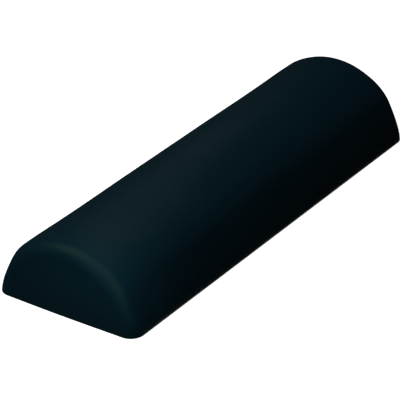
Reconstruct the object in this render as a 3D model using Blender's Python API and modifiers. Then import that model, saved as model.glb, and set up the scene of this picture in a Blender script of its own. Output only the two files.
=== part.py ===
# Half round foam roller: a firm foam core under soft pads, in a moulded skin with a zip in its flat base.
# Metres, +Z up. The roller lies along Y on its base, with the origin on the floor under its middle.

import math

import bmesh
import bpy
from mathutils import Vector

# The whole roller
ROLLER_WIDTH = 0.152
ROLLER_HEIGHT = 0.070
ROLLER_LENGTH = 0.462
END_ROUNDING = 0.0135
LEAST_ROUNDING = 0.002

# Pieces that touch keep this clearance
SEAT_GAP = 0.0003

# The soft form: full shoulders, sides drawn in above the base, a swell at each end and pillowed ends
SHOULDER_FULLNESS = 0.0007
SIDE_DRAW = 0.0011
RIM_SWELL = 0.0006
RIM_SWELL_PLACE = 0.030
RIM_SWELL_REACH = 0.034
RIM_HOLLOW = 0.0005
RIM_HOLLOW_PLACE = 0.100
RIM_HOLLOW_REACH = 0.066
END_PILLOW = 0.0015

# Layers, from the outside in
SKIN_WALL = 0.0012
PAD_THICKNESS = 0.008
END_PAD_DEPTH = 0.040
BASE_SHEET = 0.0014

# The shallow recess in the base, which keeps the zip off the floor
RECESS_DEPTH = 0.0038
RECESS_RIM_HALF_WIDTH = 0.020
RECESS_LAND_HALF_WIDTH = 0.0145
SLOT_HALF_WIDTH = 0.0062
RECESS_END_MARGIN = 0.030
SLOT_END_MARGIN = 0.013
CORE_GROOVE_SIDE = 0.002
CORE_GROOVE_HEIGHT = 0.0078

# The zip: tapes, teeth rows, stops and end patches. Its rows end this far inside the roller's ends.
ZIP_END_MARGIN = 0.061
TAPE_WIDTH = 0.0085
TAPE_THICKNESS = 0.0005
TAPE_END_LENGTH = 0.018
TOOTH_PITCH = 0.003
TOOTH_WIDTH = 0.0011
TOOTH_REACH = 0.0012
CORD_INSIDE = 0.0018
CORD_WIDTH = 0.0014
TEETH_THICKNESS = 0.0024
TOP_STOP_LENGTH = 0.003
BOTTOM_STOP_LENGTH = 0.004
PATCH_LENGTH = 0.006
PATCH_THICKNESS = 0.001
PATCH_OVERHANG = 0.0004

# The slider and its pull tab
SLIDER_LENGTH = 0.012
SLIDER_HALF_WIDTH = 0.0048
SLIDER_CHAMFER = 0.0014
SLIDER_PLATE = 0.001
SLIDER_NOSE = 0.0061
FLANGE_WIDTH = 0.0009
FLANGE_HEIGHT = 0.0007
WEDGE_LENGTH = 0.004
WEDGE_HALF_WIDTH = 0.0012
WEDGE_SETBACK = 0.0008
BRIDGE_HALF_LENGTH = 0.0028
BRIDGE_LEG = 0.001
BRIDGE_WIDTH = 0.0016
BRIDGE_OPENING = 0.00175
BRIDGE_BAR = 0.0006
PULL_LENGTH = 0.022
PULL_HALF_WIDTH = 0.003
PULL_THICKNESS = 0.001
PULL_EYE_LENGTH = 0.004
PULL_EYE_HALF_WIDTH = 0.0013
PULL_TIP_CHAMFER = 0.001

# A cutter reaches this far past what it cuts, and joined shapes sink this far into each other
CUT_OVERRUN = 0.001
JOIN_OVERLAP = 0.0002

# Shares of the arch from its top (0) to its foot (1), and how finely the forms are divided
SHOULDER_PLACE_SHARE = 0.50
SHOULDER_REACH_SHARE = 0.25
DRAW_PLACE_SHARE = 0.77
DRAW_REACH_SHARE = 0.23
PILLOW_FOOT_SHARE = 0.40
FACE_HEIGHT_SHARES = (0.0, 0.5)
ROW_SHARES = (0.06, 0.14, 0.26, 0.43, 0.67, 1.0)
ARCH_COLUMNS = 24
ROUNDING_STEPS = 4
STADIUM_STEPS = 8

# Levels above the floor, worked out from the sizes above
LAND_TOP = RECESS_DEPTH + BASE_SHEET
TAPE_LOW = LAND_TOP + SEAT_GAP
TAPE_TOP = TAPE_LOW + TAPE_THICKNESS
ZIP_LEVEL = (TAPE_LOW + TAPE_TOP) / 2
TEETH_LOW = ZIP_LEVEL - TEETH_THICKNESS / 2
TEETH_TOP = ZIP_LEVEL + TEETH_THICKNESS / 2
SLIDER_LOW = TEETH_LOW - SEAT_GAP - SLIDER_PLATE
PULL_LEVEL = SLIDER_LOW - BRIDGE_OPENING / 2
PAD_FOOT = BASE_SHEET + SEAT_GAP

# Depths below the roller's outer surface at which the layers begin
PAD_INSET = SKIN_WALL + SEAT_GAP
PAD_INNER_INSET = PAD_INSET + PAD_THICKNESS
CORE_INSET = PAD_INNER_INSET + SEAT_GAP

# The arch is a circular arc through both feet and the top
ARCH_RADIUS = (ROLLER_WIDTH**2 / 4 + ROLLER_HEIGHT**2) / (2 * ROLLER_HEIGHT)
ARCH_CENTRE = ROLLER_HEIGHT - ARCH_RADIUS

# The zip's ends and the slider's place with the zip closed
ZIP_HALF_LENGTH = ROLLER_LENGTH / 2 - ZIP_END_MARGIN
TEETH_START = -ZIP_HALF_LENGTH
TOOTH_COUNT = round(2 * ZIP_HALF_LENGTH / TOOTH_PITCH)
TEETH_END = TEETH_START + TOOTH_COUNT * TOOTH_PITCH
TAPE_INSIDE = CORD_INSIDE + CORD_WIDTH + SEAT_GAP
SLIDER_FRONT = TEETH_START - SLIDER_NOSE
SLIDER_MIDDLE = SLIDER_FRONT + SLIDER_LENGTH / 2
SLOT_HALF_LENGTH = ZIP_HALF_LENGTH + SLOT_END_MARGIN
LAND_HALF_LENGTH = ZIP_HALF_LENGTH + RECESS_END_MARGIN
RIM_HALF_LENGTH = LAND_HALF_LENGTH + RECESS_RIM_HALF_WIDTH - RECESS_LAND_HALF_WIDTH


def clear_scene():
    for old in list(bpy.data.objects):
        bpy.data.objects.remove(old, do_unlink=True)


def new_collection(name):
    collection = bpy.data.collections.new(name)
    bpy.context.scene.collection.children.link(collection)
    return collection


def make_material(name, colour, roughness, metallic=0.0):
    material = bpy.data.materials.new(name)
    material.use_nodes = True
    shader = material.node_tree.nodes["Principled BSDF"]
    shader.inputs["Base Color"].default_value = (*colour, 1.0)
    shader.inputs["Roughness"].default_value = roughness
    shader.inputs["Metallic"].default_value = metallic
    material.diffuse_color = (*colour, 1.0)
    return material


def finish_piece(piece, material, collection, smooth=True):
    piece.data.materials.append(material)
    collection.objects.link(piece)
    if smooth:
        piece.data.shade_smooth()
        piece.data.set_sharp_from_angle(angle=math.radians(30))
    return piece


# A smooth bump that is 1 at its centre and 0 from its reach outwards
def bump(place, centre, reach):
    distance = abs(place - centre) / reach
    return math.cos(math.pi / 2 * distance) ** 2 if distance < 1 else 0.0


# How far the soft form stands proud of the plain arch, at a share of the arch and a depth from the end
def soft_offset(share, depth):
    shoulder = SHOULDER_FULLNESS * bump(share, SHOULDER_PLACE_SHARE, SHOULDER_REACH_SHARE)
    draw = SIDE_DRAW * bump(share, DRAW_PLACE_SHARE, DRAW_REACH_SHARE)
    swell = RIM_SWELL * bump(depth, RIM_SWELL_PLACE, RIM_SWELL_REACH)
    hollow = RIM_HOLLOW * bump(depth, RIM_HOLLOW_PLACE, RIM_HOLLOW_REACH)
    return shoulder - draw + (swell - hollow) * bump(share, 0, 1)


# The arch as (x, z) points from its right foot over the top to its left foot, which both stand at foot_level
def arch(inset, foot_level, depth, soft):
    radius = ARCH_RADIUS - inset
    foot_angle = math.acos((foot_level - ARCH_CENTRE) / radius)
    points = []
    for column in range(ARCH_COLUMNS + 1):
        share = 1 - 2 * column / ARCH_COLUMNS
        angle = share * foot_angle
        reach = radius + (soft_offset(abs(share), depth) if soft else 0)
        points.append((reach * math.sin(angle), ARCH_CENTRE + reach * math.cos(angle)))
    points[0] = (points[0][0], foot_level)
    points[-1] = (points[-1][0], foot_level)
    return points


def rounding_at(inset):
    return max(END_ROUNDING - inset, LEAST_ROUNDING)


# The near end's rounded edge: (depth from the end, inset) pairs from the end face to the crown
def rounded_edge(inset):
    rounding = rounding_at(inset)
    pairs = []
    for step in range(ROUNDING_STEPS + 1):
        turn = math.pi / 2 * (1 - step / ROUNDING_STEPS)
        depth = inset + rounding * (1 - math.sin(turn))
        pairs.append((depth, inset + rounding * (1 - math.cos(turn))))
    return pairs


# Rows of points down a pillowed end face: the foot edge first, then up towards the arch
def end_face(edge_points, depth, foot_level, pillow):
    half_width = edge_points[0][0]
    rows = []
    for height_share in FACE_HEIGHT_SHARES:
        row = []
        for x, z in edge_points:
            height = foot_level + (z - foot_level) * height_share
            bow = 1 - (2 * height_share - 1) ** 2 + PILLOW_FOOT_SHARE * (1 - height_share)
            bulge = pillow * bow * (1 - (x / half_width) ** 2)
            row.append((x, bulge - depth, height))
        rows.append(row)
    return rows


# One end's rows, from the foot edge of its face to a straight row at each depth. y is 0 at the outer end.
def end_rows(inset, foot_level, depths, soft, pillow):
    edge = rounded_edge(inset)
    first = arch(edge[0][1], foot_level, edge[0][0], soft)
    rows = end_face(first, edge[0][0], foot_level, pillow)
    for depth, row_inset in edge:
        rows.append([(x, -depth, z) for x, z in arch(row_inset, foot_level, depth, soft)])
    for depth in depths:
        rows.append([(x, -depth, z) for x, z in arch(inset, foot_level, depth, soft)])
    return rows


def straight_rows(inset, foot_level, depths, soft):
    return [[(x, -depth, z) for x, z in arch(inset, foot_level, depth, soft)] for depth in depths]


# The depths of the rows between a rounded end and the roller's middle, in the range that a piece covers
def crown_depths(start, stop):
    span = ROLLER_LENGTH / 2 - END_ROUNDING
    inner = [END_ROUNDING + span * share for share in ROW_SHARES]
    return [start] + [depth for depth in inner if start < depth < stop] + [stop]


def to_near_end(rows):
    return [[(x, -ROLLER_LENGTH / 2 - y, z) for x, y, z in row] for row in rows]


def to_far_end(rows):
    return [[(x, ROLLER_LENGTH / 2 + y, z) for x, y, z in row] for row in rows]


# Rows for the whole length: the near half, and the far half as its mirror image
def whole_length(rows):
    near = to_near_end(rows)
    far = to_far_end(rows)
    return near + far[-2::-1]


def grid_faces(mesh, grid):
    for upper, lower in zip(grid, grid[1:]):
        for column in range(len(upper) - 1):
            corners = (upper[column], lower[column], lower[column + 1], upper[column + 1])
            mesh.faces.new(corners)


def mesh_object(name, mesh):
    bmesh.ops.remove_doubles(mesh, verts=mesh.verts[:], dist=SEAT_GAP / 100)
    bmesh.ops.dissolve_degenerate(mesh, edges=mesh.edges[:], dist=SEAT_GAP / 100)
    bmesh.ops.recalc_face_normals(mesh, faces=mesh.faces[:])
    data = bpy.data.meshes.new(name)
    mesh.to_mesh(data)
    mesh.free()
    return bpy.data.objects.new(name, data)


# A layer between two like grids of points, closed round its edges
def layer(name, outer_rows, inner_rows):
    mesh = bmesh.new()
    outer = [[mesh.verts.new(point) for point in row] for row in outer_rows]
    inner = [[mesh.verts.new(point) for point in row] for row in inner_rows]
    grid_faces(mesh, outer)
    grid_faces(mesh, inner)
    grid_faces(mesh, [outer[0], inner[0]])
    grid_faces(mesh, [outer[-1], inner[-1]])
    grid_faces(mesh, [[row[0] for row in outer], [row[0] for row in inner]])
    grid_faces(mesh, [[row[-1] for row in outer], [row[-1] for row in inner]])
    return mesh_object(name, mesh)


# A solid block under a grid of arch rows, with flat ends and a flat base
def block(name, rows):
    mesh = bmesh.new()
    grid = [[mesh.verts.new(point) for point in row] for row in rows]
    grid_faces(mesh, grid)
    mesh.faces.new(grid[0])
    mesh.faces.new(grid[-1])
    mesh.faces.new([row[0] for row in grid] + [row[-1] for row in reversed(grid)])
    return mesh_object(name, mesh)


# A stadium outline along Y: two straight sides and two half-round ends
def stadium(half_width, half_length):
    points = []
    for end in (1, -1):
        for step in range(STADIUM_STEPS + 1):
            turn = math.pi * step / STADIUM_STEPS
            x = end * half_width * math.cos(turn)
            y = end * (half_length - half_width + half_width * math.sin(turn))
            points.append((x, y))
    return points


# A flat piece: its outline in plan, filled and given its thickness between two levels
def flat_piece(name, outline, low, top):
    curve = bpy.data.curves.new(name, "CURVE")
    curve.dimensions = "2D"
    curve.fill_mode = "BOTH"
    curve.extrude = (top - low) / 2
    spline = curve.splines.new("POLY")
    spline.points.add(len(outline) - 1)
    for point, (x, y) in zip(spline.points, outline):
        point.co = (x, y, 0, 1)
    spline.use_cyclic_u = True
    piece = bpy.data.objects.new(name, curve)
    piece.location.z = (low + top) / 2
    return piece


def rectangle(x_low, x_high, y_low, y_high):
    return [(x_low, y_low), (x_high, y_low), (x_high, y_high), (x_low, y_high)]


# A flat piece made a mesh in place, for pieces that are cut or joined
def as_mesh(piece):
    name = piece.name
    bpy.context.scene.collection.objects.link(piece)
    bpy.context.view_layer.update()
    evaluated = piece.evaluated_get(bpy.context.evaluated_depsgraph_get())
    data = bpy.data.meshes.new_from_object(evaluated)
    data.transform(piece.matrix_world)
    bpy.data.objects.remove(piece, do_unlink=True)
    mesh = bmesh.new()
    mesh.from_mesh(data)
    bpy.data.meshes.remove(data)
    return mesh_object(name, mesh)


# A flat piece with a long toothed outline: one face, extruded between two levels
def extruded_piece(name, outline, low, top):
    mesh = bmesh.new()
    face = mesh.faces.new([mesh.verts.new((x, y, low)) for x, y in outline])
    sides = bmesh.ops.extrude_face_region(mesh, geom=[face])
    raised = [item for item in sides["geom"] if isinstance(item, bmesh.types.BMVert)]
    bmesh.ops.translate(mesh, vec=(0, 0, top - low), verts=raised)
    return mesh_object(name, mesh)


def box(name, x_low, x_high, y_low, y_high, low, top):
    mesh = bmesh.new()
    bmesh.ops.create_cube(mesh, size=1)
    size = Vector((x_high - x_low, y_high - y_low, top - low))
    middle = Vector((x_low + x_high, y_low + y_high, low + top)) / 2
    bmesh.ops.scale(mesh, vec=size, verts=mesh.verts[:])
    bmesh.ops.translate(mesh, vec=middle, verts=mesh.verts[:])
    data = bpy.data.meshes.new(name)
    mesh.to_mesh(data)
    mesh.free()
    return bpy.data.objects.new(name, data)


def add_boolean(piece, tool, operation, tools):
    tools.objects.link(tool)
    tool.hide_render = True
    tool.display_type = "WIRE"
    tool.parent = piece
    modifier = piece.modifiers.new(tool.name, "BOOLEAN")
    modifier.operation = operation
    modifier.object = tool


def make_foam(parts, tools):
    firm_foam = make_material("firm foam", (0.10, 0.11, 0.12), 0.95)
    soft_foam = make_material("soft foam", (0.32, 0.34, 0.33), 0.95)

    edge = rounded_edge(CORE_INSET)
    rows = [[(x, -d, z) for x, z in arch(inset, PAD_FOOT, d, False)] for d, inset in edge]
    core = block("firm_core", to_near_end(rows) + to_far_end(rows)[::-1])
    rim_half_width = RECESS_RIM_HALF_WIDTH + CORE_GROOVE_SIDE
    outline = stadium(rim_half_width, RIM_HALF_LENGTH + CORE_GROOVE_SIDE)
    groove = as_mesh(flat_piece("zip_groove", outline, -CUT_OVERRUN, PAD_FOOT + CORE_GROOVE_HEIGHT))
    add_boolean(core, groove, "DIFFERENCE", tools)
    finish_piece(core, firm_foam, parts)

    near_depths = crown_depths(END_ROUNDING, END_PAD_DEPTH)[1:]
    outer = end_rows(PAD_INSET, PAD_FOOT, near_depths, True, END_PILLOW)
    inner = end_rows(PAD_INNER_INSET, PAD_FOOT, near_depths, False, 0)
    for name, place in (("end_pad_near", to_near_end), ("end_pad_far", to_far_end)):
        finish_piece(layer(name, place(outer), place(inner)), soft_foam, parts)

    depths = crown_depths(END_PAD_DEPTH + SEAT_GAP, ROLLER_LENGTH / 2)
    outer = whole_length(straight_rows(PAD_INSET, PAD_FOOT, depths, True))
    inner = whole_length(straight_rows(PAD_INNER_INSET, PAD_FOOT, depths, False))
    finish_piece(layer("crown_pad", outer, inner), soft_foam, parts)


def make_skin(parts):
    vinyl = make_material("dark vinyl skin", (0.006, 0.018, 0.022), 0.42)
    depths = crown_depths(END_ROUNDING, ROLLER_LENGTH / 2)[1:]
    outer = whole_length(end_rows(0, 0, depths, True, END_PILLOW))
    inner = whole_length(end_rows(SKIN_WALL, 0, depths, True, END_PILLOW))
    finish_piece(layer("moulded_skin", outer, inner), vinyl, parts)


# The base sheet's plan outline, which fits inside the skin's foot
def base_outline():
    inset = SKIN_WALL + SEAT_GAP
    edge = rounded_edge(inset)
    first = arch(edge[0][1], BASE_SHEET, edge[0][0], True)
    foot_edge = end_face(first, edge[0][0], BASE_SHEET, END_PILLOW)[0]
    corner = [(arch(row_inset, BASE_SHEET, depth, True)[0][0], -depth) for depth, row_inset in edge]
    half_length = ROLLER_LENGTH / 2
    near = [(x, -half_length - y) for x, y, z in foot_edge[-2:0:-1]]
    near += [(x, -half_length - y) for x, y in corner]
    near_left = [(-x, -half_length - y) for x, y in reversed(corner)]
    near = near_left + near
    return near + [(-x, -y) for x, y in near]


def make_base(parts):
    base_vinyl = make_material("base vinyl", (0.010, 0.020, 0.023), 0.6)
    mesh = bmesh.new()
    loops = (
        (base_outline(), 0),
        (stadium(RECESS_RIM_HALF_WIDTH, RIM_HALF_LENGTH), 0),
        (stadium(RECESS_LAND_HALF_WIDTH, LAND_HALF_LENGTH), RECESS_DEPTH),
        (stadium(SLOT_HALF_WIDTH, SLOT_HALF_LENGTH), RECESS_DEPTH),
    )
    rings = [[mesh.verts.new((x, y, level)) for x, y in loop] for loop, level in loops]
    borders = []
    for ring in rings[:2]:
        borders += [mesh.edges.new(pair) for pair in zip(ring, ring[1:] + ring[:1])]
    bmesh.ops.triangle_fill(mesh, use_beauty=True, use_dissolve=False, edges=borders)
    for upper, lower in zip(rings[1:], rings[2:]):
        grid_faces(mesh, [upper + upper[:1], lower + lower[:1]])
    panel = mesh_object("base_panel", mesh)
    if panel.data.polygons[0].normal.z > 0:
        panel.data.flip_normals()
    wall = panel.modifiers.new("sheet", "SOLIDIFY")
    wall.thickness = BASE_SHEET
    wall.offset = -1
    wall.use_even_offset = True
    finish_piece(panel, base_vinyl, parts)


# One row of teeth on its cord: side is -1 on the left, 1 on the right
def teeth_outline(side):
    phase_share = 0.25 if side < 0 else 0.75
    outline = [(side * (CORD_INSIDE + CORD_WIDTH), TEETH_START)]
    outline.append((side * CORD_INSIDE, TEETH_START))
    for number in range(TOOTH_COUNT):
        middle = TEETH_START + (number + phase_share) * TOOTH_PITCH
        for x, y in (
            (CORD_INSIDE, middle - TOOTH_WIDTH / 2),
            (-TOOTH_REACH, middle - TOOTH_WIDTH / 2),
            (-TOOTH_REACH, middle + TOOTH_WIDTH / 2),
            (CORD_INSIDE, middle + TOOTH_WIDTH / 2),
        ):
            outline.append((side * x, y))
    outline.append((side * CORD_INSIDE, TEETH_END))
    outline.append((side * (CORD_INSIDE + CORD_WIDTH), TEETH_END))
    return outline


def make_zip(parts):
    tape_weave = make_material("zip tape", (0.012, 0.014, 0.015), 0.85)
    moulded = make_material("zip teeth", (0.015, 0.017, 0.018), 0.45)
    patch_vinyl = make_material("patch vinyl", (0.012, 0.020, 0.022), 0.6)
    tape_end = ZIP_HALF_LENGTH + TAPE_END_LENGTH
    cord_outside = CORD_INSIDE + CORD_WIDTH
    for name, side in (("left", -1), ("right", 1)):
        low, high = sorted((side * TAPE_INSIDE, side * (TAPE_INSIDE + TAPE_WIDTH)))
        tape = box("zip_tape_" + name, low, high, -tape_end, tape_end, TAPE_LOW, TAPE_TOP)
        finish_piece(tape, tape_weave, parts, smooth=False)
        teeth = extruded_piece("zip_teeth_" + name, teeth_outline(side), TEETH_LOW, TEETH_TOP)
        finish_piece(teeth, moulded, parts, smooth=False)
        low, high = sorted((side * TOOTH_REACH, side * cord_outside))
        stop_end = SLIDER_FRONT - SEAT_GAP
        stop_start = stop_end - TOP_STOP_LENGTH
        stop = box("zip_top_stop_" + name, low, high, stop_start, stop_end, TEETH_LOW, TEETH_TOP)
        finish_piece(stop, moulded, parts, smooth=False)

    start = TEETH_END + SEAT_GAP
    end = start + BOTTOM_STOP_LENGTH
    stop = box("zip_bottom_stop", -cord_outside, cord_outside, start, end, TEETH_LOW, TEETH_TOP)
    finish_piece(stop, moulded, parts, smooth=False)

    half_width = TAPE_INSIDE + TAPE_WIDTH - PATCH_OVERHANG
    low = TAPE_TOP + SEAT_GAP
    top = low + PATCH_THICKNESS
    for name, end in (("near", -1), ("far", 1)):
        outer = end * (tape_end - PATCH_OVERHANG)
        inner = outer - end * PATCH_LENGTH
        y_low, y_high = sorted((outer, inner))
        patch = box("zip_end_patch_" + name, -half_width, half_width, y_low, y_high, low, top)
        finish_piece(patch, patch_vinyl, parts, smooth=False)


# Plan outline of a slider plate about the slider's middle, with its corners cut off
def slider_outline():
    half = SLIDER_LENGTH / 2
    side = SLIDER_HALF_WIDTH
    cut = SLIDER_CHAMFER
    right = [(side - cut, -half), (side, cut - half), (side, half - cut), (side - cut, half)]
    return right + [(-x, y) for x, y in reversed(right)]


# The slider is shaped about its own middle, at the level of the tapes
def make_slider(parts, tools):
    metal = make_material("zip metal", (0.05, 0.055, 0.06), 0.35, 1.0)
    channel = TEETH_THICKNESS / 2 + SEAT_GAP
    outside = channel + SLIDER_PLATE
    slider = as_mesh(flat_piece("zip_slider", slider_outline(), -outside, -channel))
    top_plate = flat_piece("slider_top_plate", slider_outline(), channel, outside)
    joined = [as_mesh(top_plate)]

    half = WEDGE_HALF_WIDTH
    near = WEDGE_SETBACK - SLIDER_LENGTH / 2
    wedge = [(0, near), (half, near + half), (0, near + WEDGE_LENGTH), (-half, near + half)]
    reach = channel + JOIN_OVERLAP
    joined.append(as_mesh(flat_piece("slider_wedge", wedge, -reach, reach)))

    end = SLIDER_LENGTH / 2 - SLIDER_CHAMFER
    edge = channel - FLANGE_HEIGHT
    inside = SLIDER_HALF_WIDTH - FLANGE_WIDTH
    for name, side in (("left", -1), ("right", 1)):
        low, high = sorted((side * SLIDER_HALF_WIDTH, side * inside))
        joined.append(box("slider_lower_flange_" + name, low, high, -end, end, -reach, -edge))
        joined.append(box("slider_upper_flange_" + name, low, high, -end, end, edge, reach))

    bar_top = -outside - BRIDGE_OPENING
    half = BRIDGE_WIDTH / 2
    far = BRIDGE_HALF_LENGTH
    joined.append(box("slider_bridge_bar", -half, half, -far, far, bar_top - BRIDGE_BAR, bar_top))
    for name, y_low, y_high in (("near", -far, BRIDGE_LEG - far), ("far", far - BRIDGE_LEG, far)):
        leg_low = bar_top - JOIN_OVERLAP
        leg_top = JOIN_OVERLAP - outside
        joined.append(box("slider_bridge_leg_" + name, -half, half, y_low, y_high, leg_low, leg_top))

    for piece in joined:
        add_boolean(slider, piece, "UNION", tools)
    slider.location = (0, SLIDER_MIDDLE, ZIP_LEVEL)
    return finish_piece(slider, metal, parts, smooth=False)


# The pull tab lies along +Y from its hinge, with an eye that one leg of the slider's bridge stands in
def make_pull(parts, tools, slider):
    metal = make_material("pull metal", (0.05, 0.055, 0.06), 0.35, 1.0)
    bar = PULL_THICKNESS / 2
    side = PULL_HALF_WIDTH
    cut = PULL_TIP_CHAMFER
    right = [(side, -bar), (side, PULL_LENGTH - cut), (side - cut, PULL_LENGTH)]
    outline = right + [(-x, y) for x, y in reversed(right)]
    pull = as_mesh(flat_piece("zip_pull", outline, -bar, bar))
    eye = rectangle(-PULL_EYE_HALF_WIDTH, PULL_EYE_HALF_WIDTH, bar, bar + PULL_EYE_LENGTH)
    cutter = as_mesh(flat_piece("pull_eye", eye, -bar - CUT_OVERRUN, bar + CUT_OVERRUN))
    add_boolean(pull, cutter, "DIFFERENCE", tools)
    hinge = bpy.data.objects.new("pull_hinge", None)
    hinge.location.z = PULL_LEVEL - ZIP_LEVEL
    hinge.parent = slider
    parts.objects.link(hinge)
    pull.parent = hinge
    finish_piece(pull, metal, parts, smooth=False)


def build_roller():
    clear_scene()
    parts = new_collection("half_round_foam_roller")
    tools = new_collection("cutters")
    make_foam(parts, tools)
    make_skin(parts)
    make_base(parts)
    make_zip(parts)
    slider = make_slider(parts, tools)
    make_pull(parts, tools, slider)


build_roller()
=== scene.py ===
import math

import bmesh
import bpy
import numpy as np
from mathutils import Matrix, Vector


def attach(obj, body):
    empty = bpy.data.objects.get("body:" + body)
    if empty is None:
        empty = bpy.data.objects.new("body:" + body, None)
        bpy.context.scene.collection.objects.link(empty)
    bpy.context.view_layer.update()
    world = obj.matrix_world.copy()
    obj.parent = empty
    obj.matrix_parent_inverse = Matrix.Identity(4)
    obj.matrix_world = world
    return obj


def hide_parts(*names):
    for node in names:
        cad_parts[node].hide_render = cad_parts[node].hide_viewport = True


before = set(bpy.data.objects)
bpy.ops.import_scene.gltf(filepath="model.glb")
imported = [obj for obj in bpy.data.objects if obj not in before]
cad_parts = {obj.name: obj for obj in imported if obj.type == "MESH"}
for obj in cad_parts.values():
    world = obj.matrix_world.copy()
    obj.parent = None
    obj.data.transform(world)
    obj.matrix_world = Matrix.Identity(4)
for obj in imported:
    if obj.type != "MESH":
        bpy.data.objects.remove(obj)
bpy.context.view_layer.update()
print("packed roller loaded")


def addToScene(name, data):
    thing = bpy.data.objects.new(name, data)
    bpy.context.scene.collection.objects.link(thing)
    return thing


# the direction towards an azimuth and an elevation in degrees: azimuth 0 is -Y, and 90 is +X
def directionTo(azimuth, elevation):
    azimuth, elevation = math.radians(azimuth), math.radians(elevation)
    level = math.cos(elevation)
    return Vector((math.sin(azimuth) * level, -math.cos(azimuth) * level, math.sin(elevation)))


# the camera, at the photograph's angle: its place in degrees and metres from the middle of the
# floor, the metres that it then moves across and up, its turn, and its lens in millimetres
cameraView = {"azimuth": 34.165, "elevation": 28.979, "distance": 2.4536,
              "across": -0.01055, "up": 0.00973, "turn": 0.066,
              "lens": 234.56, "sensor": 36, "nearest": 0.1, "farthest": 50}


def makeCamera(spec):
    azimuth = math.radians(spec["azimuth"])
    back = directionTo(spec["azimuth"], spec["elevation"])
    right = Vector((math.cos(azimuth), math.sin(azimuth), 0))
    turn = Matrix.Rotation(math.radians(spec["turn"]), 3, "Z")
    axes = Matrix((right, back.cross(right), back)).transposed() @ turn
    data = bpy.data.cameras.new("productCamera")
    data.lens, data.sensor_width = spec["lens"], spec["sensor"]
    data.clip_start, data.clip_end = spec["nearest"], spec["farthest"]
    camera = addToScene("productCamera", data)
    place = axes @ Vector((spec["across"], spec["up"], spec["distance"]))
    camera.matrix_world = Matrix.Translation(place) @ axes.to_4x4()
    bpy.context.scene.camera = camera


makeCamera(cameraView)
print("camera placed")


# the roller's outer form in metres: a half round section between rolled ends. Its soft form has
# shoulders, sides drawn in above the foot, a swell and a waist behind each end, and pillowed ends
rollerForm = {"width": 0.152, "height": 0.070, "length": 0.462,
              "endRounding": 0.0135, "leastRounding": 0.002,
              "shoulder": 0.0007, "shoulderPlace": 0.50, "shoulderReach": 0.25,
              "sideDraw": 0.0011, "drawPlace": 0.77, "drawReach": 0.23,
              "endSwell": 0.0006, "swellPlace": 0.030, "swellReach": 0.034,
              "waist": 0.0005, "waistPlace": 0.100, "waistReach": 0.066,
              "pillow": 0.0015, "pillowFoot": 0.40, "pillowRim": 4, "crownSpread": 1.2}


# a bump that is 1 at its centre and falls as a squared cosine to 0 at its reach
def softBump(place, centre, reach):
    distance = np.clip(np.abs(place - centre) / reach, 0, 1)
    return np.cos(np.pi / 2 * distance) ** 2


# a point of the section: share runs from 1 at the right foot over the top to -1 at the left
# foot, on a circular arc that is drawn in by the inset, plus the soft form's own fullness at
# that share and at that depth from the roller's end
def sectionPoints(share, depth, inset, footLevel, soft):
    form = rollerForm
    radius = (form["width"] ** 2 / 4 + form["height"] ** 2) / (2 * form["height"])
    centre = form["height"] - radius
    angle = share * np.arccos((footLevel - centre) / (radius - inset))
    side = np.abs(share)
    fullness = form["shoulder"] * softBump(side, form["shoulderPlace"], form["shoulderReach"])
    fullness = fullness - form["sideDraw"] * softBump(side, form["drawPlace"], form["drawReach"])
    ripple = form["endSwell"] * softBump(depth, form["swellPlace"], form["swellReach"])
    ripple = ripple - form["waist"] * softBump(depth, form["waistPlace"], form["waistReach"])
    reach = radius - inset + (fullness + ripple * softBump(side, 0, 1)) * soft
    x, z = reach * np.sin(angle), centre + reach * np.cos(angle)
    return x, np.where(side > 0.9999, footLevel, z)  # both feet exactly on their level


# one end of a layer as a grid: rows go from the middle of the face's foot out to the rolled
# edge, round it on a quarter circle, and on along the crown to the last depth. Columns follow
# the section from foot to foot. The face bows out as a parabola across and up
def endGrid(inset, footLevel, lastDepth, soft, columns, faceRows, edgeRows, crownRows):
    form = rollerForm
    share = np.linspace(1, -1, columns + 1)[None]
    rounding = max(form["endRounding"] - inset, form["leastRounding"])
    turn = np.linspace(np.pi / 2, 0, edgeRows + 1)[:, None]
    along = np.linspace(0, 1, crownRows + 1)[1:, None]
    start = inset + rounding
    crown = start + (lastDepth - start) * along ** form["crownSpread"]
    depth = np.concatenate([start - rounding * np.sin(turn), crown])
    drawnIn = np.concatenate([start - rounding * np.cos(turn), np.full_like(along, inset)])
    x, z = sectionPoints(share + 0 * depth, depth + 0 * share, drawnIn + 0 * share,
                         footLevel, soft)
    y = -depth + 0 * share
    spread = np.linspace(0, 1, faceRows + 1)[:-1, None]  # straight lines over the face
    faceX = x[:1] * spread
    faceZ = footLevel + (z[:1] - footLevel) * spread
    height = (faceZ - footLevel) / (z[:1].max() - footLevel)
    bow = 1 - (2 * height - 1) ** 2 + form["pillowFoot"] * (1 - height)
    rim = 1 - spread ** form["pillowRim"]  # the pillow dies away at the rolled edge
    faceY = form["pillow"] * soft * bow * (1 - (faceX / x[0, 0]) ** 2) * rim - inset
    parts = ((faceX, x), (faceY, y), (faceZ, z))
    return np.stack([np.concatenate(part) for part in parts], axis=-1)


# an end's grid put at the near (-1) or the far (1) end of the roller
def placeEnd(grid, end):
    return grid * (1, end, 1) + (0, end * rollerForm["length"] / 2, 0)


# a closed wall between two like grids: both grids, and strips that join their four borders
def wallGrids(outer, inner):
    strips = [np.stack([outer[row], inner[row]]) for row in (0, -1)]
    strips += [np.stack([outer[:, column], inner[:, column]]) for column in (0, -1)]
    return [outer, inner] + strips


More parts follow.
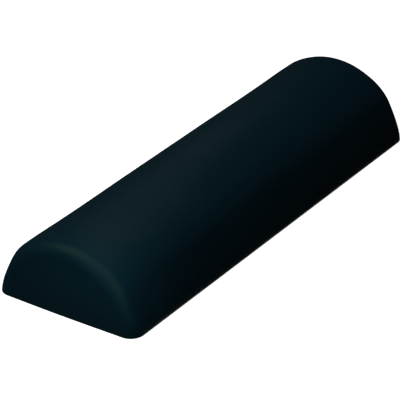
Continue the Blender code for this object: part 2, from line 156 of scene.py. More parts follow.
# a mesh from grids of points, each a (rows, columns, 3) array, joined where their edges meet
def gridMesh(name, grids, merge=2e-5):
    points, faces, first = [], [], 0
    for grid in grids:
        rows, columns = grid.shape[:2]
        index = first + np.arange(rows * columns).reshape(rows, columns)
        corners = [index[:-1, :-1], index[1:, :-1], index[1:, 1:], index[:-1, 1:]]
        faces.append(np.stack(corners, axis=-1).reshape(-1, 4))
        points.append(grid.reshape(-1, 3))
        first += rows * columns
    points, faces = np.concatenate(points), np.concatenate(faces)
    mesh = bpy.data.meshes.new(name)
    mesh.vertices.add(len(points))
    mesh.vertices.foreach_set("co", points.astype(np.float32).ravel())
    mesh.loops.add(faces.size)
    mesh.loops.foreach_set("vertex_index", faces.astype(np.int32).ravel())
    mesh.polygons.add(len(faces))
    mesh.polygons.foreach_set("loop_start", np.arange(0, faces.size, 4, dtype=np.int32))
    mesh.update(calc_edges=True)
    return tidyMesh(mesh, merge)


# points closer than merge joined, slivers and faces within the flat angle dissolved, all faces
# turned outwards, and edges past the sharp angle kept crisp
def tidyMesh(mesh, merge, flat=0, sharp=35):
    build = bmesh.new()
    build.from_mesh(mesh)
    bmesh.ops.remove_doubles(build, verts=build.verts, dist=merge)
    bmesh.ops.dissolve_degenerate(build, edges=build.edges, dist=merge / 4)
    if flat:
        bmesh.ops.dissolve_limit(build, angle_limit=math.radians(flat),
                                 verts=build.verts, edges=build.edges)
    bmesh.ops.recalc_face_normals(build, faces=build.faces)
    build.to_mesh(mesh)
    build.free()
    mesh.validate()
    mesh.shade_smooth()
    mesh.set_sharp_from_angle(angle=math.radians(sharp))
    return mesh


def addPiece(name, mesh, body, slot, material, *nodes):
    piece = addToScene(name, mesh)
    mesh.materials.clear()
    mesh.materials.append(material)
    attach(piece, body)
    if nodes:
        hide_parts(*nodes)
    return piece


def addBevel(piece, width, segments=3, angle=50):
    bevel = piece.modifiers.new("softEdges", "BEVEL")
    bevel.width, bevel.segments = width, segments
    bevel.limit_method, bevel.angle_limit = "ANGLE", math.radians(angle)
    bevel.harden_normals = True


def addWall(piece, thickness, even=False):
    wall = piece.modifiers.new("wall", "SOLIDIFY")
    wall.thickness, wall.offset, wall.use_even_offset = thickness, -1, even


# a CAD node's own shape, merged and freed of its flat triangles, for a piece whose edges alone
# get softer
def copyPiece(name, node, body, slot, material):
    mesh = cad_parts[node].data.copy()
    mesh.name = name
    return addPiece(name, tidyMesh(mesh, merge=1e-6, flat=0.5), body, slot, material, node)


print("shape tools ready")


# an input is set to a value, or linked where it is given another node's output
def feed(tree, socket, value):
    if isinstance(value, bpy.types.NodeSocket):
        tree.links.new(value, socket)
    else:
        socket.default_value = value


def mathNode(tree, operation, *values):
    node = tree.nodes.new("ShaderNodeMath")
    node.operation = operation
    for socket, value in zip(node.inputs, values):
        feed(tree, socket, value)
    return node.outputs[0]


def noiseNode(tree, vector, scale, detail):
    node = tree.nodes.new("ShaderNodeTexNoise")
    for name, value in (("Vector", vector), ("Scale", scale), ("Detail", detail)):
        feed(tree, node.inputs[name], value)
    return node.outputs


# a value between low and high, spread over 0 to 1 or over what its To inputs are given
def rangeNode(tree, value, low, high, kind="LINEAR"):
    node = tree.nodes.new("ShaderNodeMapRange")
    node.interpolation_type = kind
    for name, level in (("Value", value), ("From Min", low), ("From Max", high)):
        feed(tree, node.inputs[name], level)
    return node


# a shader effect that materials share: a node group with its named inputs and outputs
def startGroup(name, inputs, outputs):
    group = bpy.data.node_groups.new(name, "ShaderNodeTree")
    group.interface.new_socket("Vector", in_out="INPUT", socket_type="NodeSocketVector")
    for word, value in inputs.items():
        socket = group.interface.new_socket(word, in_out="INPUT", socket_type="NodeSocketFloat")
        socket.default_value = value
    for word in outputs:
        group.interface.new_socket(word, in_out="OUTPUT", socket_type="NodeSocketFloat")
    start, end = group.nodes.new("NodeGroupInput"), group.nodes.new("NodeGroupOutput")
    return group, start.outputs, end.inputs


# broad, faint unevenness that runs from Low to High, for colour and roughness
mottleLook = {"detail": 3.0, "noiseLow": 0.3, "noiseHigh": 0.7}


def makeMottle(look):
    group, given, result = startGroup("mottle", {"Scale": 20.0, "Low": 0.0, "High": 1.0}, ["Value"])
    noise = noiseNode(group, given["Vector"], given["Scale"], look["detail"])
    spread = rangeNode(group, noise["Fac"], look["noiseLow"], look["noiseHigh"])
    feed(group, spread.inputs["To Min"], given["Low"])
    feed(group, spread.inputs["To Max"], given["High"])
    feed(group, result["Value"], spread.outputs["Result"])
    return group


# vinyl's pressed grain: small rounded pebbles with creases between them, crossed by finer pores,
# and a mask of the creases for painted shade
grainLook = {"warpScale": 260.0, "warpDetail": 2.0, "warp": 0.0007, "creaseWidth": 0.22,
             "poreScale": 3800.0, "poreDetail": 2.0}


def makeGrain(look):
    group, given, result = startGroup("vinylGrain", {"Pebbles": 900.0, "Crease": 0.6, "Pores": 0.3},
                                      ["Height", "ShadedCreases"])
    warp = noiseNode(group, given["Vector"], look["warpScale"], look["warpDetail"])
    shift = group.nodes.new("ShaderNodeVectorMath")
    shift.operation = "MULTIPLY_ADD"
    for socket, value in zip(shift.inputs, (warp["Color"], [look["warp"]] * 3, given["Vector"])):
        feed(group, socket, value)
    cells = group.nodes.new("ShaderNodeTexVoronoi")
    cells.feature = "DISTANCE_TO_EDGE"
    feed(group, cells.inputs["Vector"], shift.outputs["Vector"])
    feed(group, cells.inputs["Scale"], given["Pebbles"])
    pebble = rangeNode(group, cells.outputs["Distance"], 0, look["creaseWidth"], "SMOOTHSTEP")
    pores = noiseNode(group, given["Vector"], look["poreScale"], look["poreDetail"])
    raised = mathNode(group, "MULTIPLY", pebble.outputs["Result"], given["Crease"])
    fine = mathNode(group, "MULTIPLY", pores["Fac"], given["Pores"])
    feed(group, result["Height"], mathNode(group, "ADD", raised, fine))
    feed(group, result["ShadedCreases"], mathNode(group, "SUBTRACT", 1.0, pebble.outputs["Result"]))
    return group


# foam's cells: round pits in a finely uneven ground, and a mask of the pits for painted shade
foamLook = {"pitFloor": 0.15, "pitRim": 0.55, "groundScale": 1800.0, "groundDetail": 3.0,
            "groundShare": 0.4}


def makeFoamCells(look):
    group, given, result = startGroup("foamCells", {"Scale": 700.0}, ["Height", "ShadedPits"])
    cells = group.nodes.new("ShaderNodeTexVoronoi")
    feed(group, cells.inputs["Vector"], given["Vector"])
    feed(group, cells.inputs["Scale"], given["Scale"])
    wall = rangeNode(group, cells.outputs["Distance"], look["pitFloor"], look["pitRim"],
                     "SMOOTHSTEP").outputs["Result"]
    ground = noiseNode(group, given["Vector"], look["groundScale"], look["groundDetail"])
    uneven = mathNode(group, "MULTIPLY", ground["Fac"], look["groundShare"])
    feed(group, result["Height"], mathNode(group, "ADD", wall, uneven))
    feed(group, result["ShadedPits"], mathNode(group, "SUBTRACT", 1.0, wall))
    return group


# a plain weave: threads across and along, over and under by turns, and a mask of the gaps between
# them for painted shade
def makeWeave():
    group, given, result = startGroup("tapeWeave", {"Pitch": 0.0005}, ["Height", "ShadedGaps"])
    split = group.nodes.new("ShaderNodeSeparateXYZ")
    feed(group, split.inputs[0], given["Vector"])
    turn = mathNode(group, "DIVIDE", math.pi, given["Pitch"])
    across = mathNode(group, "MULTIPLY", split.outputs["X"], turn)
    along = mathNode(group, "MULTIPLY", split.outputs["Y"], turn)
    warpThread = mathNode(group, "ABSOLUTE", mathNode(group, "SINE", across))
    weftThread = mathNode(group, "ABSOLUTE", mathNode(group, "SINE", along))
    checks = mathNode(group, "MULTIPLY", mathNode(group, "COSINE", across),
                      mathNode(group, "COSINE", along))
    over = mathNode(group, "GREATER_THAN", checks, 0.0)
    under = mathNode(group, "SUBTRACT", 1.0, over)
    height = mathNode(group, "ADD", mathNode(group, "MULTIPLY", warpThread, over),
                      mathNode(group, "MULTIPLY", weftThread, under))
    feed(group, result["Height"], height)
    feed(group, result["ShadedGaps"], mathNode(group, "SUBTRACT", 1.0, height))
    return group


# wear on edges: where a rounded copy of the surface's normal leaves the true one, broken up by
# noise. The match of the two normals goes from 1 on a flat face down to matchWorn on an edge
wearLook = {"samples": 6, "matchFlat": 0.98, "matchWorn": 0.85, "chipDetail": 4.0,
            "chipLow": 0.42, "chipHigh": 0.62}


def makeEdgeWear(look):
    group, given, result = startGroup("edgeWear", {"Scale": 1500.0, "Width": 0.0003, "Amount": 0.5},
                                      ["Mask"])
    rounded = group.nodes.new("ShaderNodeBevel")
    rounded.samples = look["samples"]
    feed(group, rounded.inputs["Radius"], given["Width"])
    match = group.nodes.new("ShaderNodeVectorMath")
    match.operation = "DOT_PRODUCT"
    feed(group, match.inputs[0], rounded.outputs["Normal"])
    feed(group, match.inputs[1],
         group.nodes.new("ShaderNodeNewGeometry").outputs["True Normal"])
    edge = rangeNode(group, match.outputs["Value"], look["matchFlat"], look["matchWorn"],
                     "SMOOTHSTEP")
    chips = noiseNode(group, given["Vector"], given["Scale"], look["chipDetail"])
    rubbed = rangeNode(group, chips["Fac"], look["chipLow"], look["chipHigh"])
    broken = mathNode(group, "MULTIPLY", edge.outputs["Result"], rubbed.outputs["Result"])
    feed(group, result["Mask"], mathNode(group, "MULTIPLY", broken, given["Amount"]))
    return group


mottle, vinylGrain = makeMottle(mottleLook), makeGrain(grainLook)
foamCells, tapeWeave, edgeWear = makeFoamCells(foamLook), makeWeave(), makeEdgeWear(wearLook)
print("shader effects made")


def useGroup(tree, group, place, **values):
    node = tree.nodes.new("ShaderNodeGroup")
    node.node_tree = group
    feed(tree, node.inputs["Vector"], place)
    for name, value in values.items():
        node.inputs[name].default_value = value
    return node.outputs


def mixColours(tree, factor, first, second):
    node = tree.nodes.new("ShaderNodeMix")
    node.data_type = "RGBA"
    feed(tree, node.inputs["Factor"], factor)
    for socket, colour in ((node.inputs[6], first), (node.inputs[7], second)):
        feed(tree, socket, (*colour, 1.0) if isinstance(colour, tuple) else colour)
    return node.outputs[2]


def addBump(tree, shader, height, depth):
    bump = tree.nodes.new("ShaderNodeBump")
    feed(tree, bump.inputs["Distance"], depth)
    feed(tree, bump.inputs["Height"], height)
    feed(tree, shader.inputs["Normal"], bump.outputs["Normal"])


# what all finishes share: two near shades that run into each other, and a roughness that wanders
def startMaterial(name, spec):
    material = bpy.data.materials.new(name)
    material.use_nodes = True
    tree = material.node_tree
    shader = tree.nodes["Principled BSDF"]
    place = tree.nodes.new("ShaderNodeTexCoord").outputs["Object"]
    cloud = useGroup(tree, mottle, place, Scale=spec["mottleScale"])
    tone = mixColours(tree, cloud["Value"], spec["dark"], spec["light"])
    gloss = useGroup(tree, mottle, place, Scale=spec["glossScale"],
                     Low=spec["smooth"], High=spec["rough"])
    feed(tree, shader.inputs["Roughness"], gloss["Value"])
    return material, tree, shader, place, tone


# vinyl, with painted shade that darkens the creases of its grain
def makeVinyl(name, spec):
    material, tree, shader, place, tone = startMaterial(name, spec)
    grain = useGroup(tree, vinylGrain, place, Pebbles=spec["pebbles"], Crease=spec["crease"],
                     Pores=spec["pores"])
    # painted shade: the grain's creases are mixed towards the dark crease shade tone
    shade = mathNode(tree, "MULTIPLY", grain["ShadedCreases"], spec["creaseShade"])
    feed(tree, shader.inputs["Base Color"], mixColours(tree, shade, tone, spec["creaseShadeTone"]))
    shader.inputs["Specular IOR Level"].default_value = spec["specular"]
    shader.inputs["Specular Tint"].default_value = (*spec["tint"], 1.0)
    addBump(tree, shader, grain["Height"], spec["bumpDepth"])
    return material


# foam, with painted shade that darkens its pits
def makeFoam(name, spec):
    material, tree, shader, place, tone = startMaterial(name, spec)
    cells = useGroup(tree, foamCells, place, Scale=spec["cells"])
    # painted shade: the pits are mixed towards a darker pit shade tone
    feed(tree, shader.inputs["Base Color"], mixColours(tree, cells["ShadedPits"], tone, spec["pitShadeTone"]))
    shader.inputs["Specular IOR Level"].default_value = spec["specular"]
    addBump(tree, shader, cells["Height"], spec["bumpDepth"])
    return material


# woven and sewn threads with a faint sheen, and painted shade that darkens their gaps
def makeThreads(name, spec):
    material, tree, shader, place, tone = startMaterial(name, spec)
    threads = useGroup(tree, tapeWeave, place, Pitch=spec["weave"])
    # painted shade: the gaps between threads are mixed towards a darker gap shade tone
    feed(tree, shader.inputs["Base Color"], mixColours(tree, threads["ShadedGaps"], tone, spec["gapShadeTone"]))
    shader.inputs["Sheen Weight"].default_value = spec["sheen"]
    shader.inputs["Sheen Roughness"].default_value = spec["sheenRough"]
    addBump(tree, shader, threads["Height"], spec["bumpDepth"])
    return material


# hard pieces: moulded plastic, or lacquered metal whose worn edges show bare metal
def makeHard(name, spec):
    material, tree, shader, place, tone = startMaterial(name, spec)
    wear = useGroup(tree, edgeWear, place, Scale=spec["wearScale"], Width=spec["wearWidth"],
                    Amount=spec["wear"])
    feed(tree, shader.inputs["Base Color"], mixColours(tree, wear["Mask"], tone, spec["worn"]))
    if spec["metal"]:
        bare = mathNode(tree, "MAXIMUM", wear["Mask"], spec["metal"])
        feed(tree, shader.inputs["Metallic"], bare)
    fine = noiseNode(tree, place, spec["fineScale"], spec["fineDetail"])
    addBump(tree, shader, fine["Fac"], spec["bumpDepth"])
    return material


print("material makers ready")


# the moulded skin: one smooth sheet over the crown and both ends, open at its foot
skinPiece = {"wall": 0.0012, "footLevel": 0.0001,
             "columns": 144, "faceRows": 22, "edgeRows": 14, "crownRows": 46,
             "dark": (0.0009, 0.0083, 0.0130), "light": (0.0013, 0.0093, 0.0144),
             "creaseShadeTone": (0.0007, 0.0062, 0.0100), "creaseShade": 0.25,
             "mottleScale": 14.0, "glossScale": 22.0, "smooth": 0.48, "rough": 0.53,
             "specular": 0.125, "tint": (0.20, 0.34, 0.10),
             "pebbles": 1500.0, "crease": 0.5, "pores": 0.5, "bumpDepth": 0.000012}


# both ends' grids, which meet halfway along the roller, and a wall inwards
def makeSkin(spec):
    vinyl = makeVinyl("skinVinyl", spec)
    counts = spec["columns"], spec["faceRows"], spec["edgeRows"], spec["crownRows"]
    half = endGrid(0, spec["footLevel"], rollerForm["length"] / 2, 1, *counts)
    mesh = gridMesh("mouldedSkin", [placeEnd(half, -1), placeEnd(half, 1)])
    piece = addPiece("mouldedSkin", mesh, "roller", "skin", vinyl, "moulded_skin")
    addWall(piece, spec["wall"])


makeSkin(skinPiece)
print("skin made")


# the soft pads under the skin, and the firm core
padPieces = {"clearance": 0.0003, "thickness": 0.008, "capDepth": 0.040, "footLevel": 0.0017,
             "columns": 64, "faceRows": 14, "edgeRows": 8, "capRows": 10, "crownPoints": 60,
             "dark": (0.27, 0.29, 0.28), "light": (0.36, 0.38, 0.37), "pitShadeTone": (0.12, 0.13, 0.13),
             "mottleScale": 60.0, "glossScale": 200.0, "smooth": 0.86, "rough": 0.98,
             "specular": 0.3, "cells": 900.0, "bumpDepth": 0.0003}
corePiece = {"softEdge": 0.0006,
             "dark": (0.085, 0.092, 0.100), "light": (0.115, 0.125, 0.135),
             "pitShadeTone": (0.04, 0.045, 0.05),
             "mottleScale": 60.0, "glossScale": 200.0, "smooth": 0.86, "rough": 0.98,
             "specular": 0.3, "cells": 1400.0, "bumpDepth": 0.00015}


# closed walls: the end caps between two end grids, and the crown pad between two arched sheets,
# whose outer side follows the skin's soft form and whose inner side is plain
def makePads(spec):
    softFoam = makeFoam("softFoam", spec)
    outside = skinPiece["wall"] + spec["clearance"]
    inside = outside + spec["thickness"]
    foot, columns = spec["footLevel"], spec["columns"]
    counts = columns, spec["faceRows"], spec["edgeRows"], spec["capRows"]
    outer = endGrid(outside, foot, spec["capDepth"], 1, *counts)
    inner = endGrid(inside, foot, spec["capDepth"], 0, *counts)
    for name, node, end in (("endPadNear", "end_pad_near", -1), ("endPadFar", "end_pad_far", 1)):
        grids = [placeEnd(grid, end) for grid in wallGrids(outer, inner)]
        pad = addPiece(name, gridMesh(name, grids), "roller", "soft_foam", softFoam, node)
    reach = rollerForm["length"] / 2
    first = spec["capDepth"] + spec["clearance"]
    last = 2 * reach - spec["capDepth"] - spec["clearance"]
    depth = np.linspace(first, last, spec["crownPoints"])[:, None]
    nearest = np.minimum(depth, 2 * reach - depth)  # the depth from the closer end
    share = np.linspace(1, -1, columns + 1)[None]
    sheets = []
    for inset, soft in ((outside, 1), (inside, 0)):
        x, z = sectionPoints(share + 0 * depth, nearest + 0 * share, inset, foot, soft)
        sheets.append(np.stack([x, depth - reach + 0 * share, z], axis=-1))
    mesh = gridMesh("crownPad", wallGrids(*sheets))
    crown = addPiece("crownPad", mesh, "roller", "soft_foam", softFoam, "crown_pad")


def makeCore(spec):
    firmFoam = makeFoam("firmFoam", spec)
    core = copyPiece("firmCore", "firm_core", "roller", "firm_foam", firmFoam)
    addBevel(core, spec["softEdge"], segments=2, angle=40)


makePads(padPieces)
makeCore(corePiece)
print("pads and core made")


# the base sheet, with the recess for the zip pressed into it. Inwards from its outer edge come a
# flat rim, the recess's wall, the land at the recess's depth, and the slot that the zip lies in
basePiece = {"sheet": 0.0014, "edge": 0.0002, "inset": 0.0015, "recessDepth": 0.0038,
             "rimHalfWidth": 0.020, "rimHalfLength": 0.2055,
             "landHalfWidth": 0.0145, "landHalfLength": 0.200,
             "slotHalfWidth": 0.0062, "slotHalfLength": 0.183,
             "cornerPoints": 10, "sidePoints": 90, "endPoints": 16,
             "rimRings": 14, "rimSpread": 0.8, "wallRings": 12, "landRings": 6,
             "dark": (0.0062, 0.0150, 0.0190), "light": (0.0072, 0.0168, 0.0212),
             "creaseShadeTone": (0.0030, 0.0075, 0.0098), "creaseShade": 0.5,
             "mottleScale": 25.0, "glossScale": 60.0, "smooth": 0.54, "rough": 0.60,
             "specular": 0.25, "tint": (0.5, 0.8, 0.7),
             "pebbles": 780.0, "crease": 0.8, "pores": 0.3, "bumpDepth": 0.00006}


# a loop of points round the origin: two straight sides and two half circles, from the right side
# by the far end and the left side to the near end, with the same counts in every loop
def stadiumLoop(halfWidth, halfLength, spec):
    side = np.linspace(-1, 1, spec["sidePoints"])
    turn = np.linspace(0, np.pi, 2 * spec["cornerPoints"] + spec["endPoints"])[1:-1]
    straight = halfLength - halfWidth
    right = np.stack([np.full_like(side, halfWidth), side * straight], axis=-1)
    far = np.stack([halfWidth * np.cos(turn), straight + halfWidth * np.sin(turn)], axis=-1)
    loop = np.concatenate([right, far])
    return np.concatenate([loop, -loop])


# the sheet's outer edge: it follows the skin's foot, with the ends' rolled corners on quarter
# circles and their faint bow as a parabola
def baseOutline(spec):
    form = rollerForm
    half, inset, level = form["length"] / 2, spec["inset"], spec["sheet"]
    rounding = form["endRounding"] - inset
    turn = np.linspace(0, np.pi / 2, spec["cornerPoints"] + 1)[1:]
    depth = inset + rounding * (1 - np.sin(turn))
    drawnIn = inset + rounding * (1 - np.cos(turn))
    sideDepth = half - np.linspace(-1, 1, spec["sidePoints"]) * (half - inset - rounding)
    nearest = np.minimum(sideDepth, 2 * half - sideDepth)
    sideX = sectionPoints(np.ones_like(sideDepth), nearest, inset, level, 1)[0]
    cornerX = sectionPoints(np.ones_like(depth), depth, drawnIn, level, 1)[0]
    across = np.linspace(1, -1, spec["endPoints"])[1:-1]
    bow = form["pillow"] * form["pillowFoot"] * (1 - across ** 2)
    right = np.stack([sideX, half - sideDepth], axis=-1)
    corner = np.stack([cornerX, half - depth], axis=-1)
    end = np.stack([across * cornerX[-1], half - inset + bow], axis=-1)
    loop = np.concatenate([right, corner, end, corner[::-1] * (-1, 1)])
    return np.concatenate([loop, -loop])


# rings from the outer edge to the slot: flat, then up the recess's soft wall on a smooth step,
# then flat again
def makeBase(spec):
    outline = baseOutline(spec)
    rim = stadiumLoop(spec["rimHalfWidth"], spec["rimHalfLength"], spec)
    land = stadiumLoop(spec["landHalfWidth"], spec["landHalfLength"], spec)
    slot = stadiumLoop(spec["slotHalfWidth"], spec["slotHalfLength"], spec)
    onRim = np.linspace(0, 1, spec["rimRings"]) ** spec["rimSpread"]
    onWall = np.linspace(0, 1, spec["wallRings"] + 1)[1:]
    onLand = np.linspace(0, 1, spec["landRings"] + 1)[1:]
    steps = [(outline, rim, onRim, 0 * onRim),
             (rim, land, onWall, onWall * onWall * (3 - 2 * onWall)),
             (land, slot, onLand, 0 * onLand + 1)]
    rings = []
    for first, last, shares, risen in steps:
        shares = shares[:, None, None]
        flat = first + (last - first) * shares
        level = spec["recessDepth"] * risen[:, None, None] + np.zeros_like(flat[..., :1])
        rings.append(np.concatenate([flat, level], axis=-1))
    grid = np.concatenate(rings)
    grid = np.concatenate([grid, grid[:, :1]], axis=1)  # each ring closed
    mesh = gridMesh("basePanel", [grid])
    if mesh.polygons[0].normal.z > 0:
        mesh.flip_normals()
    vinyl = makeVinyl("baseVinyl", spec)
    piece = addPiece("basePanel", mesh, "roller", "base_vinyl", vinyl, "base_panel")
    addWall(piece, spec["sheet"], even=True)
    addBevel(piece, spec["edge"], segments=2, angle=60)


makeBase(basePiece)
print("base made")


# the zip's tapes, teeth and cords are bars with rounded edges: a rounded rectangle profile
# in x and z, carried along y and closed to a point at both ends
def roundedBar(xLow, xHigh, yLow, yHigh, low, top, radius, rows=2, corner=3):
    turn = [np.linspace(start, start + 90, corner + 1) for start in (0, 90, 180, 270)]
    turn = np.radians(np.append(np.concatenate(turn), 360))
    signs = np.repeat([(1, 1), (-1, 1), (-1, -1), (1, -1)], corner + 1, axis=0)
    signs = np.concatenate([signs, signs[:1]])
    middle = np.array([(xLow + xHigh) / 2, (low + top) / 2])
    halfSize = np.array([(xHigh - xLow) / 2, (top - low) / 2]) - radius
    profile = middle + signs * halfSize + radius * np.stack([np.cos(turn), np.sin(turn)], axis=-1)
    inner = middle + (profile - middle) * (1 - radius / (halfSize + radius))
    point = middle + 0 * profile
    places = [(yLow, point), (yLow, inner)]
    places += [(y, profile) for y in np.linspace(yLow + radius, yHigh - radius, rows)]
    places += [(yHigh, inner), (yHigh, point)]
    return np.stack([np.stack([loop[:, 0], np.full(len(loop), y), loop[:, 1]], axis=-1)
                     for y, loop in places])


# the woven tapes
tapePiece = {"inside": 0.0035, "width": 0.0085, "low": 0.0055, "top": 0.0060, "halfLength": 0.188,
             "rounding": 0.00022, "rows": 60,
             "dark": (0.010, 0.012, 0.013), "light": (0.016, 0.018, 0.019),
             "gapShadeTone": (0.003, 0.0035, 0.004), "weave": 0.00042, "bumpDepth": 0.00012,
             "mottleScale": 120.0, "glossScale": 400.0, "smooth": 0.72, "rough": 0.9,
             "sheen": 0.15, "sheenRough": 0.5}


# a flat bar to each side of the slot
def makeTapes(spec):
    cloth = makeThreads("tapeCloth", spec)
    for word, side in (("Left", -1), ("Right", 1)):
        low, high = sorted((side * spec["inside"], side * (spec["inside"] + spec["width"])))
        bar = roundedBar(low, high, -spec["halfLength"], spec["halfLength"], spec["low"],
                         spec["top"], spec["rounding"], spec["rows"])
        mesh = gridMesh("zipTape" + word, [bar], merge=1e-6)
        addPiece("zipTape" + word, mesh, "roller", "zip_tape", cloth, "zip_tape_" + word.lower())


# the moulded teeth on their cords, and the stops
teethPiece = {"pitch": 0.003, "count": 113, "start": -0.170, "length": 0.0011, "reach": 0.0012,
              "inCord": 0.0004, "toothRounding": 0.00028,
              "cordInside": 0.0018, "cordWidth": 0.0014, "cordRounding": 0.0005, "cordRows": 80,
              "low": 0.00455, "top": 0.00695, "topStopEdge": 0.0003, "bottomStopEdge": 0.0004,
              "dark": (0.012, 0.014, 0.015), "light": (0.019, 0.021, 0.022),
              "mottleScale": 300.0, "glossScale": 900.0, "smooth": 0.34, "rough": 0.46,
              "worn": (0.05, 0.055, 0.058), "wear": 0.5, "wearScale": 1200.0,
              "wearWidth": 0.00012, "metal": 0.0,
              "fineScale": 2500.0, "fineDetail": 3.0, "bumpDepth": 0.00002}


# each row: a cord along the tape's edge, with one rounded tooth to each pitch, the two rows half
# a pitch apart
def makeTeeth(spec):
    plastic = makeHard("toothPlastic", spec)
    start, pitch, length = spec["start"], spec["pitch"], spec["length"]
    for word, side, phase in (("Left", -1, 0.25), ("Right", 1, 0.75)):
        outside = spec["cordInside"] + spec["cordWidth"]
        low, high = sorted((side * spec["cordInside"], side * outside))
        bars = [roundedBar(low, high, start, start + spec["count"] * pitch, spec["low"],
                           spec["top"], spec["cordRounding"], spec["cordRows"])]
        low, high = sorted((-side * spec["reach"], side * (spec["cordInside"] + spec["inCord"])))
        for number in range(spec["count"]):
            near = start + (number + phase) * pitch - length / 2
            bars.append(roundedBar(low, high, near, near + length, spec["low"], spec["top"],
                                   spec["toothRounding"], corner=2))
        mesh = gridMesh("zipTeeth" + word, bars, merge=1e-7)
        addPiece("zipTeeth" + word, mesh, "roller", "zip_teeth", plastic,
                 "zip_teeth_" + word.lower())
    for name, node, edge in (("zipTopStopLeft", "zip_top_stop_left", "topStopEdge"),
                             ("zipTopStopRight", "zip_top_stop_right", "topStopEdge"),
                             ("zipBottomStop", "zip_bottom_stop", "bottomStopEdge")):
        addBevel(copyPiece(name, node, "roller", "zip_teeth", plastic), spec[edge])


# the patches over the tapes' ends
patchPiece = {"softEdge": 0.0003,
              "dark": (0.0080, 0.0150, 0.0180), "light": (0.0110, 0.0190, 0.0220),
              "creaseShadeTone": (0.0040, 0.0080, 0.0100), "creaseShade": 0.4,
              "mottleScale": 80.0, "glossScale": 200.0, "smooth": 0.5, "rough": 0.6,
              "specular": 0.25, "tint": (0.5, 0.8, 0.7),
              "pebbles": 1100.0, "crease": 0.7, "pores": 0.3, "bumpDepth": 0.00003}


def makePatches(spec):
    vinyl = makeVinyl("patchVinyl", spec)
    for name, node in (("zipEndPatchNear", "zip_end_patch_near"),
                       ("zipEndPatchFar", "zip_end_patch_far")):
        addBevel(copyPiece(name, node, "roller", "patch_vinyl", vinyl), spec["softEdge"])


# the slider and its pull tab
sliderPiece = {"sliderEdge": 0.00018, "pullEdge": 0.00022,
               "dark": (0.040, 0.045, 0.050), "light": (0.060, 0.066, 0.072),
               "mottleScale": 300.0, "glossScale": 900.0, "smooth": 0.26, "rough": 0.38,
               "worn": (0.46, 0.45, 0.43), "wear": 0.9, "wearScale": 1800.0,
               "wearWidth": 0.00022, "metal": 0.85,
               "fineScale": 2500.0, "fineDetail": 3.0, "bumpDepth": 0.00001}


def makeSlider(spec):
    metal = makeHard("zipMetal", spec)
    slider = copyPiece("zipSlider", "zip_slider", "slider", "zip_metal", metal)
    addBevel(slider, spec["sliderEdge"])
    pull = copyPiece("zipPull", "zip_pull", "pull", "zip_metal", metal)
    addBevel(pull, spec["pullEdge"])


# the stitching round the slot
stitchPiece = {"length": 0.0026, "pitch": 0.0034, "radius": 0.0003, "line": 0.0088,
               "beyondSlot": 0.0035, "endGap": 0.0004, "rows": 6, "sides": 6,
               "arch": 0.2, "flatness": 0.8,
               "dark": (0.030, 0.042, 0.046), "light": (0.046, 0.062, 0.066),
               "gapShadeTone": (0.012, 0.017, 0.019), "weave": 0.0003, "bumpDepth": 0.00008,
               "mottleScale": 120.0, "glossScale": 400.0, "smooth": 0.72, "rough": 0.9,
               "sheen": 0.15, "sheenRough": 0.5}


# one thread on the face of the land: a half sunk bead, thicker in its middle than at its ends
def stitchGrid(x, y, level, turned, spec):
    along = np.linspace(-1, 1, spec["rows"] + 1)[:, None]
    turn = np.linspace(0, 2 * np.pi, spec["sides"] + 1)[None]
    thick = spec["radius"] * np.sqrt(np.clip(1 - np.abs(along) ** 3, 0, 1))
    across, onward = thick * np.cos(turn), along * spec["length"] / 2 + 0 * turn
    rise = spec["radius"] * spec["arch"] * (1 - along ** 2)
    z = level - rise + thick * spec["flatness"] * np.sin(turn)
    if turned:
        across, onward = onward, across
    return np.stack([x + across, y + onward, z], axis=-1)


# a row of threads down each side of the slot and across both its ends
def makeStitching(spec):
    thread = makeThreads("stitchThread", spec)
    land, line, pitch = basePiece["recessDepth"], spec["line"], spec["pitch"]
    end = basePiece["slotHalfLength"] + spec["beyondSlot"]
    stitches = []
    for side in (-1, 1):
        for y in np.arange(-end + pitch / 2, end, pitch):
            stitches.append(stitchGrid(side * line, y, land, False, spec))
        for x in np.arange(-line + pitch / 2, line, pitch):
            stitches.append(stitchGrid(x, side * (end + spec["endGap"]), land, True, spec))
    mesh = gridMesh("zipStitching", stitches, merge=1e-7)
    addPiece("zipStitching", mesh, "roller", "zip_tape", thread)


makeTapes(tapePiece)
makeTeeth(teethPiece)
makePatches(patchPiece)
makeSlider(sliderPiece)
makeStitching(stitchPiece)
print("zip made")


# the studio's soft lamps: what each is aimed at, where it stands from there in degrees and
# metres, its side, its strength there, and the spread of its beam where a grid narrows it
lampAims = {"middle": (0, 0, 0.03), "nearCrown": (0, -0.15, 0.06),
            "nearCorner": (0.03, -0.225, 0.05)}
studioLamps = {
    "overhead": {"aim": "middle", "azimuth": 0, "elevation": 70, "distance": 2.0,
                 "side": 0.70, "strength": 0.23},
    "front": {"aim": "middle", "azimuth": 0, "elevation": 30, "distance": 2.0,
              "side": 0.70, "strength": 0.08},
    "frontLeft": {"aim": "middle", "azimuth": 324, "elevation": 50, "distance": 2.0,
                  "side": 0.70, "strength": 0.51},
    "lowFront": {"aim": "nearCrown", "azimuth": 40, "elevation": 10, "distance": 0.35,
                 "side": 0.10, "strength": 0.05},
    "lowRight": {"aim": "nearCorner", "azimuth": 63, "elevation": 23, "distance": 0.18,
                 "side": 0.05, "strength": 0.0364, "spread": 50},
    "behindLow": {"aim": "nearCrown", "azimuth": 210, "elevation": 28, "distance": 0.5,
                  "side": 0.20, "strength": 0.014},
    "behindHigh": {"aim": "nearCrown", "azimuth": 180, "elevation": 55, "distance": 0.3,
                   "side": 0.12, "strength": 0.06},
    "edge": {"aim": "nearCorner", "azimuth": 61, "elevation": 62, "distance": 0.21,
             "side": 0.05, "strength": 0.24},
    "farEnd": {"aim": "middle", "azimuth": 180, "elevation": -45, "distance": 2.0,
               "side": 0.90, "strength": 0.25},
    "beneath": {"aim": "middle", "azimuth": 180, "elevation": -72, "distance": 1.2,
                "side": 0.50, "strength": 0.32},
}


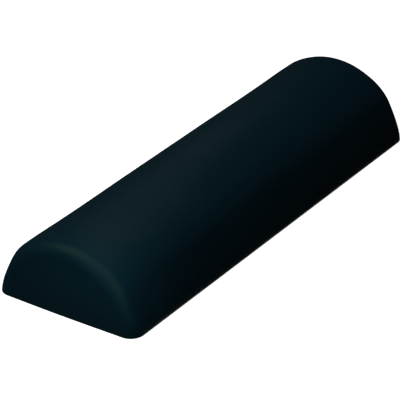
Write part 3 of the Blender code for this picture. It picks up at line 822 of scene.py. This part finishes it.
def addLamp(name, spec):
    away = directionTo(spec["azimuth"], spec["elevation"])
    data = bpy.data.lights.new(name, "AREA")
    data.shape, data.size = "SQUARE", spec["side"]
    data.energy = spec["strength"] * 4 * math.pi * spec["distance"] ** 2
    data.spread = math.radians(spec.get("spread", 180))  # 180 is a plain panel's
    lamp = addToScene(name, data)
    lamp.location = Vector(lampAims[spec["aim"]]) + away * spec["distance"]
    lamp.rotation_euler = away.to_track_quat("Z", "Y").to_euler()
    lamp.visible_camera = False


for lampName, lampSpec in studioLamps.items():
    addLamp(lampName, lampSpec)
print("lamps placed")


# the surround: white where the camera, a mirroring surface or a clear one looks past the
# roller, and dim for the light that it gives
surround = {"ambient": 0.08}


def makeSurround(spec):
    world = bpy.data.worlds.new("studioRoom")
    bpy.context.scene.world = world
    world.use_nodes = True
    tree = world.node_tree
    background = tree.nodes["Background"]
    background.inputs["Color"].default_value = (1, 1, 1, 1)
    ray = tree.nodes.new("ShaderNodeLightPath").outputs
    seen = mathNode(tree, "MAXIMUM", ray["Is Camera Ray"], ray["Is Glossy Ray"])
    seen = mathNode(tree, "MAXIMUM", seen, ray["Is Transmission Ray"])
    strength = rangeNode(tree, seen, 0, 1)
    feed(tree, strength.inputs["To Min"], spec["ambient"])
    feed(tree, background.inputs["Strength"], strength.outputs["Result"])


def stageMaterial(name):
    material = bpy.data.materials.new(name)
    material.use_nodes = True
    tree = material.node_tree
    tree.nodes.clear()
    return material, tree, tree.nodes.new("ShaderNodeOutputMaterial").inputs["Surface"]


def glowShader(tree, strength):
    glow = tree.nodes.new("ShaderNodeEmission")
    feed(tree, glow.inputs["Strength"], strength)
    return glow.outputs[0]


# a pale floor, clear from below so that the underside can be looked at
floorPiece = {"size": 6.0, "level": -0.0003, "tone": 0.5, "glow": 0.90}


def makeFloor(spec):
    side = np.array([-0.5, 0.5]) * spec["size"]
    x, y = np.meshgrid(side, side, indexing="ij")
    mesh = gridMesh("floor", [np.stack([x, y, np.full_like(x, spec["level"])], axis=-1)])
    if mesh.polygons[0].normal.z < 0:
        mesh.flip_normals()
    floor = addToScene("floor", mesh)
    floor.visible_diffuse = floor.visible_glossy = False
    floor.visible_transmission = floor.visible_shadow = False
    material, tree, surface = stageMaterial("paleFloor")
    matt = tree.nodes.new("ShaderNodeBsdfDiffuse")
    matt.inputs["Color"].default_value = (spec["tone"],) * 3 + (1,)
    both = tree.nodes.new("ShaderNodeAddShader")
    feed(tree, both.inputs[0], matt.outputs[0])
    feed(tree, both.inputs[1], glowShader(tree, spec["glow"]))
    below = tree.nodes.new("ShaderNodeNewGeometry").outputs["Backfacing"]
    clear = tree.nodes.new("ShaderNodeBsdfTransparent").outputs[0]
    sides = tree.nodes.new("ShaderNodeMixShader")
    for socket, value in zip(sides.inputs, (below, both.outputs[0], clear)):
        feed(tree, socket, value)
    feed(tree, surface, sides.outputs[0])
    mesh.materials.append(material)


# dark cards round and over the roller, as stand round dark goods in a studio: its skin mirrors
# them, and the zip's metal underneath looks past them to the white
cardsPiece = {"radius": 3.0, "lowest": -55, "columns": 48, "rows": 26, "tone": 0.03}


# a ball of points by azimuth and elevation, open at its foot
def makeCards(spec):
    turn = np.radians(np.linspace(0, 360, spec["columns"] + 1))[None]
    rise = np.radians(np.linspace(spec["lowest"], 90, spec["rows"] + 1))[:, None]
    ball = [np.cos(rise) * np.cos(turn), np.cos(rise) * np.sin(turn), np.sin(rise) + 0 * turn]
    mesh = gridMesh("darkCards", [spec["radius"] * np.stack(ball, axis=-1)])
    cards = addToScene("darkCards", mesh)
    cards.visible_camera = cards.visible_diffuse = False
    cards.visible_transmission = cards.visible_shadow = False
    material, tree, surface = stageMaterial("darkCard")
    feed(tree, surface, glowShader(tree, spec["tone"]))
    mesh.materials.append(material)


makeSurround(surround)
makeFloor(floorPiece)
makeCards(cardsPiece)
bpy.context.scene.view_settings.view_transform = "Standard"
print("studio made")
